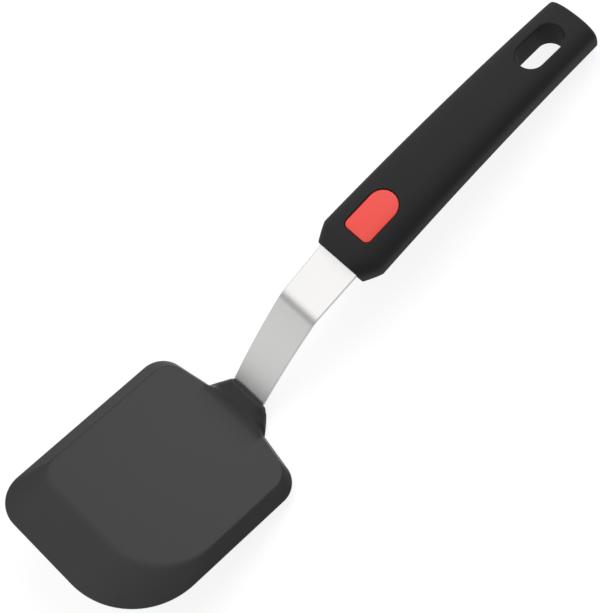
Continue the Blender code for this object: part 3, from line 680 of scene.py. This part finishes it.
HANDLE_LENGTH = 125.85 * MM
HANDLE_SLOPE = math.radians(16.7)
HANDLE_ARCH_RADIUS = 680.0 * MM
MOULD_SLOPE = math.radians(14.0)
HANDLE_FRONT_WIDTH = 28.0 * MM
HANDLE_TAIL_WIDTH = 22.0 * MM
HANDLE_FRONT_THICKNESS = 18.8 * MM
HANDLE_TAIL_THICKNESS = 15.9 * MM
HANDLE_FRONT_SQUARENESS = 2.8
HANDLE_TAIL_SQUARENESS = 3.8
STRAP_DEPTH_IN_MOUTH = 7.1 * MM
MOUTH_TAPER_LENGTH = 7.25 * MM
MOUTH_TAPER_SIDE = 3.8 * MM
MOUTH_TAPER_TOP = 0.8 * MM
MOUTH_TAPER_SOFTNESS = 1.15
MOUTH_TAPER_STEPS = 6
MOUTH_ROUNDING = 0.4 * MM
MOUTH_ROUNDING_STEPS = 4
MOUTH_LEAN = math.radians(4.0)
MOUTH_LEAN_FADE = 20.0 * MM
TAIL_FACE_SLOPE = math.radians(18.5)
TAIL_CORNER_RADIUS = 0.8 * MM
TAIL_TOP_RADIUS = 2.4 * MM
TAIL_UNDER_RADIUS = 1.3 * MM
TAIL_BOW_RADIUS = 62.0 * MM
TAIL_BOW_FADE = 9.0 * MM
TAIL_STEPS = 24
GRIP_WALL = 2.0 * MM
SLOT_WIDTH = 10.9 * MM
SLOT_LENGTH = 20.6 * MM
SLOT_FROM_TAIL = 20.5 * MM
SLOT_LINING = 1.2 * MM
SLOT_RIM = 0.6 * MM
RIM_STEPS = 6
CUTTER_REACH = 3.0 * MM
LINING_REACH = 40.0 * MM
RAY_START = 50.0 * MM
INLAY_WIDTH = 11.7 * MM
INLAY_LENGTH = 19.9 * MM
INLAY_FROM_MOUTH = 19.75 * MM
INLAY_FRONT_CORNER = 2.2 * MM
INLAY_CORNER_STEPS = 8
INLAY_DEPTH = 3.0 * MM
INLAY_SEAM = 0.25 * MM
INLAY_RIM = 0.35 * MM

RUBBER = (0.021, 0.021, 0.0225)
RUBBER_ROUGHNESS = 0.66


def corner_inset(distance, radius):
    """How far a quarter-round corner pulls in at a distance from the end it rounds."""
    if distance >= radius:
        return 0.0
    return radius - math.sqrt(radius ** 2 - (radius - distance) ** 2)


def handle_frame(along):
    """Crown point (y, z) and slope of the arched handle at a distance behind its mouth."""
    distance, y, z, angle = station_at("mouth")
    y -= math.sin(HANDLE_SLOPE) * STRAP_DEPTH_IN_MOUTH
    z += math.cos(HANDLE_SLOPE) * STRAP_DEPTH_IN_MOUTH
    slope = HANDLE_SLOPE - along / HANDLE_ARCH_RADIUS
    y += HANDLE_ARCH_RADIUS * (math.sin(HANDLE_SLOPE) - math.sin(slope))
    z += HANDLE_ARCH_RADIUS * (math.cos(slope) - math.cos(HANDLE_SLOPE))
    return y, z, slope


def handle_matrix(along, slope=None):
    """Matrix with its origin on the handle's crown and Z out of the top."""
    y, z, local = handle_frame(along)
    return Matrix.Translation((0.0, y, z)) @ Matrix.Rotation(local if slope is None else slope, 4, "X")


def handle_ring(along, wall, steps):
    """Ring of the handle at a distance behind its mouth, a wall's thickness inside its skin."""
    share = along / HANDLE_LENGTH
    width = HANDLE_FRONT_WIDTH + (HANDLE_TAIL_WIDTH - HANDLE_FRONT_WIDTH) * share
    thickness = HANDLE_FRONT_THICKNESS + (HANDLE_TAIL_THICKNESS - HANDLE_FRONT_THICKNESS) * share
    squareness = HANDLE_FRONT_SQUARENESS + (HANDLE_TAIL_SQUARENESS - HANDLE_FRONT_SQUARENESS) * share
    taper = max(0.0, 1.0 - along / MOUTH_TAPER_LENGTH) ** MOUTH_TAPER_SOFTNESS
    to_tail = HANDLE_LENGTH - along
    lip = corner_inset(along, MOUTH_ROUNDING) + wall
    side = MOUTH_TAPER_SIDE * taper + corner_inset(to_tail, TAIL_CORNER_RADIUS) + lip
    above = thickness / 2 - MOUTH_TAPER_TOP * taper - corner_inset(to_tail, TAIL_TOP_RADIUS) - lip
    below = thickness / 2 - MOUTH_TAPER_TOP * taper - corner_inset(to_tail, TAIL_UNDER_RADIUS) - lip
    y, z, slope = handle_frame(along)
    y += math.sin(slope) * thickness / 2
    z -= math.cos(slope) * thickness / 2
    fade = max(0.0, 1.0 - to_tail / TAIL_BOW_FADE)
    tilt = slope + (TAIL_FACE_SLOPE - slope) * fade
    lean = math.tan(MOUTH_LEAN) * max(0.0, 1.0 - along / MOUTH_LEAN_FADE)
    strap_level = thickness / 2 - STRAP_DEPTH_IN_MOUTH
    ring = []
    for x, height in superellipse(width / 2 - side, above, below, squareness, steps):
        back = fade * (x * x) / (2 * TAIL_BOW_RADIUS) - lean * (strap_level - height)
        ring.append((x, y - height * math.sin(tilt) - back * math.cos(slope),
                     z + height * math.cos(tilt) - back * math.sin(slope)))
    return ring


def handle_form(name, wall, steps, body_steps):
    """The handle's outer form, or the same form inside a wall."""
    mouth_start = wall + MOUTH_ROUNDING
    tail_start = HANDLE_LENGTH - TAIL_BOW_FADE
    last = HANDLE_LENGTH - wall
    places = [wall + MOUTH_ROUNDING * (1.0 - cos) for sin, cos in quarter_turn(MOUTH_ROUNDING_STEPS)[:-1]]
    places += [mouth_start + (MOUTH_TAPER_LENGTH - mouth_start) * i / MOUTH_TAPER_STEPS
               for i in range(MOUTH_TAPER_STEPS + 1)]
    places += [MOUTH_TAPER_LENGTH + (tail_start - MOUTH_TAPER_LENGTH) * i / body_steps
               for i in range(1, body_steps + 1)]
    places += [tail_start + (last - tail_start) * sin for sin, cos in quarter_turn(TAIL_STEPS)[1:]]
    return loft(name, [handle_ring(place, wall, steps) for place in places], bowed=True)


def stadium(width, length):
    """Slot outline with round ends, long side along Y."""
    radius = width / 2
    reach = length / 2 - radius
    return (arc_points((0.0, reach), radius, 0.0, math.pi, ROUND_STEPS // 2)
            + arc_points((0.0, -reach), radius, math.pi, math.tau, ROUND_STEPS // 2))


def tombstone(width, length, corner):
    """Inlay outline: small corners at the front, one full round at the back."""
    radius = width / 2
    side = radius - corner
    front = corner - length / 2
    return (arc_points((0.0, length / 2 - radius), radius, 0.0, math.pi, ROUND_STEPS // 2)
            + arc_points((-side, front), corner, math.pi, 1.5 * math.pi, INLAY_CORNER_STEPS)
            + arc_points((side, front), corner, 1.5 * math.pi, math.tau, INLAY_CORNER_STEPS))


def slot_outline(grow):
    """Outline of the hanging slot, moved out."""
    return stadium(SLOT_WIDTH + 2 * grow, SLOT_LENGTH + 2 * grow)


def inlay_outline(grow):
    """Outline of the inlay, moved out."""
    return tombstone(INLAY_WIDTH + 2 * grow, INLAY_LENGTH + 2 * grow, INLAY_FRONT_CORNER + grow)


def pocket_outline(grow):
    """Outline of the pocket that the inlay sits in, moved out."""
    return inlay_outline(INLAY_SEAM + grow)


def skin_height(skin, matrix, x, y, side):
    """Height of the handle's skin over a point of a matrix's XY plane, on its top (1) or underside (-1)."""
    turn = resting @ matrix
    start = turn @ Vector((x, y, side * RAY_START))
    direction = turn.to_3x3() @ Vector((0.0, 0.0, -side))
    hit = skin.ray_cast(start, direction)[0]
    return (turn.inverted() @ hit).z


def rim_rings(skin, matrix, outline, rim, side):
    """Rings of a cutter that leave a rounded rim where it comes out of the skin, deepest ring last."""
    levels = [(rim, -CUTTER_REACH)]
    levels += [(rim * (1.0 - sin), rim * (1.0 - cos)) for sin, cos in quarter_turn(RIM_STEPS)]
    return [[(x, y, skin_height(skin, matrix, x, y, side) - side * deep) for x, y in outline(grow)]
            for grow, deep in levels]


def soft_touch_rubber():
    """Black soft-touch rubber: a very fine matte grain, a little smoother where the hand rubs it."""
    finish, tree, shader = new_finish("soft_touch_rubber", RUBBER, RUBBER_ROUGHNESS, specular=0.15)
    place = Wire.new(tree, "ShaderNodeTexCoord", output="Object")
    grain = noise(tree, place, 3000.0)
    rubbed = noise(tree, place, 22.0, 3.0)
    vary(shader, RUBBER, RUBBER_ROUGHNESS, grain, rubbed, fine_share=0.35, tints=(0.84, 1.16),
         wander=(0.08, 0.12), bump=(0.3, 0.02 * MM))
    return finish


grip = handle_form("soft_grip", wall=0.0, steps=120, body_steps=60)
skin_shape = bmesh.new()
skin_shape.from_mesh(grip.data)
grip_skin = BVHTree.FromBMesh(skin_shape)
skin_shape.free()
at_slot = handle_matrix(HANDLE_LENGTH - SLOT_FROM_TAIL, MOULD_SLOPE)
at_inlay = handle_matrix(INLAY_FROM_MOUTH)

hollow = handle_form("grip_hollow", wall=GRIP_WALL, steps=48, body_steps=20)
lining = [[(x, y, height) for x, y in slot_outline(SLOT_LINING)]
          for height in (-LINING_REACH, LINING_REACH)]
hollow = cut(hollow, loft("slot_lining", lining, at_slot))
grip = cut(grip, hollow)
slot_rings = (rim_rings(grip_skin, at_slot, slot_outline, SLOT_RIM, -1)
              + rim_rings(grip_skin, at_slot, slot_outline, SLOT_RIM, 1)[::-1])
grip = cut(grip, loft("hang_slot", slot_rings, at_slot))
pocket_rings = [[(x, y, -INLAY_DEPTH) for x, y in pocket_outline(0.0)]]
pocket_rings += rim_rings(grip_skin, at_inlay, pocket_outline, INLAY_RIM, 1)[::-1]
grip = cut(grip, loft("inlay_pocket", pocket_rings, at_inlay))
grip = cut(grip, shank, keep=True)
grip = dress(grip, soft_touch_rubber(), "handle_grip", 28.0)


# Red inlay: a plate of red plastic, square at the front and round at the back, pressed into the top of the
# handle. It follows the handle's crown just below the rubber, and two pegs hold it in the core.

INLAY_RECESS = 0.2 * MM
INLAY_ROUNDING = 0.3 * MM
INLAY_ROUNDING_STEPS = 5
INLAY_TOP_STEPS = 12
PEG_RADIUS = 1.6 * MM
PEG_LENGTH = 1.5 * MM
PEG_SPACING = 8.0 * MM

RED = (0.9, 0.085, 0.07)

inlay_rings = [[(x, y, -INLAY_DEPTH) for x, y in inlay_outline(0.0)]]
for sin, cos in quarter_turn(INLAY_ROUNDING_STEPS):
    deep = INLAY_RECESS + INLAY_ROUNDING * (1.0 - sin)
    shrink = INLAY_ROUNDING * (1.0 - cos)
    inlay_rings.append([(x, y, skin_height(grip_skin, at_inlay, x, y, 1) - deep)
                        for x, y in inlay_outline(-shrink)])
for i in range(1, INLAY_TOP_STEPS):
    inward = 1.0 - i / INLAY_TOP_STEPS
    ring = [(x * inward, y * inward) for x, y in inlay_outline(-INLAY_ROUNDING)]
    inlay_rings.append([(x, y, skin_height(grip_skin, at_inlay, x, y, 1) - INLAY_RECESS) for x, y in ring])
inlay = loft("inlay_plate", inlay_rings, at_inlay)
for sign in (-1, 1):
    at_peg = at_inlay @ Matrix.Translation((0.0, sign * PEG_SPACING / 2, 0.0))
    peg = upright_cylinder("peg", PEG_RADIUS, -INLAY_DEPTH - PEG_LENGTH, -INLAY_DEPTH / 2, at_peg)
    inlay = cut(inlay, peg, "UNION")
red_plastic = moulded_plastic("red_plastic", RED, 0.35, 1500.0, specular=0.2)
inlay = dress(inlay, red_plastic, "red_inlay")


# Table, light and camera: the tool lies on a plain white table under soft studio light, and is seen from
# above its right front corner. The table glows for the camera and in shiny and clear surfaces alone, so it
# looks white, keeps the tool's shadow and lights nothing else.

CAMERA_AZIMUTH = math.radians(45.27)
CAMERA_ELEVATION = math.radians(62.64)
CAMERA_ROLL = math.radians(0.06)
CAMERA_DISTANCE = 578.0 * MM
CAMERA_RIGHT = 84.6 * MM
CAMERA_UP = 92.84 * MM
FOCAL_PIXELS = 1649.0
IMAGE_WIDTH = 600.0
SENSOR_WIDTH = 36.0
LAMP_TARGET = (0.0, 0.0, 0.03)
# name, place, width, height and power of each lamp; all face the middle of the tool
SOFT_BOXES = (
    ("key_box", (-0.30, 0.60, 0.87), 0.7, 0.52, 5.4),
    ("overhead_box", (-0.32, -0.14, 1.05), 0.58, 0.58, 1.5),
    ("front_box", (-0.34, -0.94, 0.47), 0.9, 0.8, 1.5),
    ("left_box", (-0.95, 0.50, 0.24), 0.9, 0.4, 2.3),
)
WORLD_STRENGTH = 0.39
TABLE_REACH = 3.0
TABLE_ROUGHNESS = 0.8
TABLE_GLOW = 0.85

WHITE = (1.0, 1.0, 1.0, 1.0)
TABLE_GREY = (0.2, 0.2, 0.2, 1.0)

sin_az, cos_az = math.sin(CAMERA_AZIMUTH), math.cos(CAMERA_AZIMUTH)
sin_el, cos_el = math.sin(CAMERA_ELEVATION), math.cos(CAMERA_ELEVATION)
back = Vector((cos_el * sin_az, -cos_el * cos_az, sin_el))
right = Vector((cos_az, sin_az, 0.0))
up = back.cross(right)
camera_place = back * CAMERA_DISTANCE + right * CAMERA_RIGHT + up * CAMERA_UP
rolled_right = right * math.cos(CAMERA_ROLL) - up * math.sin(CAMERA_ROLL)
rolled_up = up * math.cos(CAMERA_ROLL) + right * math.sin(CAMERA_ROLL)
camera_data = bpy.data.cameras.new("camera")
camera_data.sensor_fit = "HORIZONTAL"
camera_data.sensor_width = SENSOR_WIDTH
camera_data.lens = SENSOR_WIDTH * FOCAL_PIXELS / IMAGE_WIDTH
camera_data.clip_start = 10.0 * MM
camera = bpy.data.objects.new("camera", camera_data)
bpy.context.scene.collection.objects.link(camera)
camera.matrix_world = (resting @ Matrix.Translation(camera_place)
                       @ Matrix((rolled_right, rolled_up, back)).transposed().to_4x4())
bpy.context.scene.camera = camera
bpy.context.scene.view_settings.view_transform = "Standard"

for name, place, width, height, power in SOFT_BOXES:
    lamp = bpy.data.lights.new(name, "AREA")
    lamp.shape = "RECTANGLE"
    lamp.size = width
    lamp.size_y = height
    lamp.energy = power
    box = bpy.data.objects.new(name, lamp)
    bpy.context.scene.collection.objects.link(box)
    away = Vector(place) - Vector(LAMP_TARGET)
    box.matrix_world = Matrix.Translation(place) @ away.to_track_quat("Z", "Y").to_matrix().to_4x4()

world = bpy.data.worlds.new("studio")
world.use_nodes = True
bpy.context.scene.world = world
surroundings = world.node_tree.nodes["Background"]
surroundings.inputs["Color"].default_value = WHITE
surroundings.inputs["Strength"].default_value = WORLD_STRENGTH

table_finish = bpy.data.materials.new("white_table")
table_finish.use_nodes = True
table_tree = table_finish.node_tree
matte = table_tree.nodes["Principled BSDF"]
matte.inputs["Base Color"].default_value = TABLE_GREY
matte.inputs["Roughness"].default_value = TABLE_ROUGHNESS
rays = Wire.new(table_tree, "ShaderNodeLightPath", output="Is Camera Ray")
seen = rays.calculate("MAXIMUM", rays.other("Is Glossy Ray"))
seen = seen.calculate("MAXIMUM", rays.other("Is Transmission Ray"))
glow = Wire.new(table_tree, "ShaderNodeEmission", None, {"Color": WHITE, "Strength": seen * TABLE_GLOW})
whole = Wire.new(table_tree, "ShaderNodeAddShader", None, {0: Wire(matte.outputs[0]), 1: glow})
table_tree.links.new(whole.socket, table_tree.nodes["Material Output"].inputs["Surface"])
table_corners = [(x * TABLE_REACH, y * TABLE_REACH, 0.0) for x, y in ((-1, -1), (1, -1), (1, 1), (-1, 1))]
table_mesh = bpy.data.meshes.new("table")
table_mesh.from_pydata(table_corners, [], [(0, 1, 2, 3)])
table_mesh.materials.append(table_finish)
table = bpy.data.objects.new("table", table_mesh)
bpy.context.scene.collection.objects.link(table)
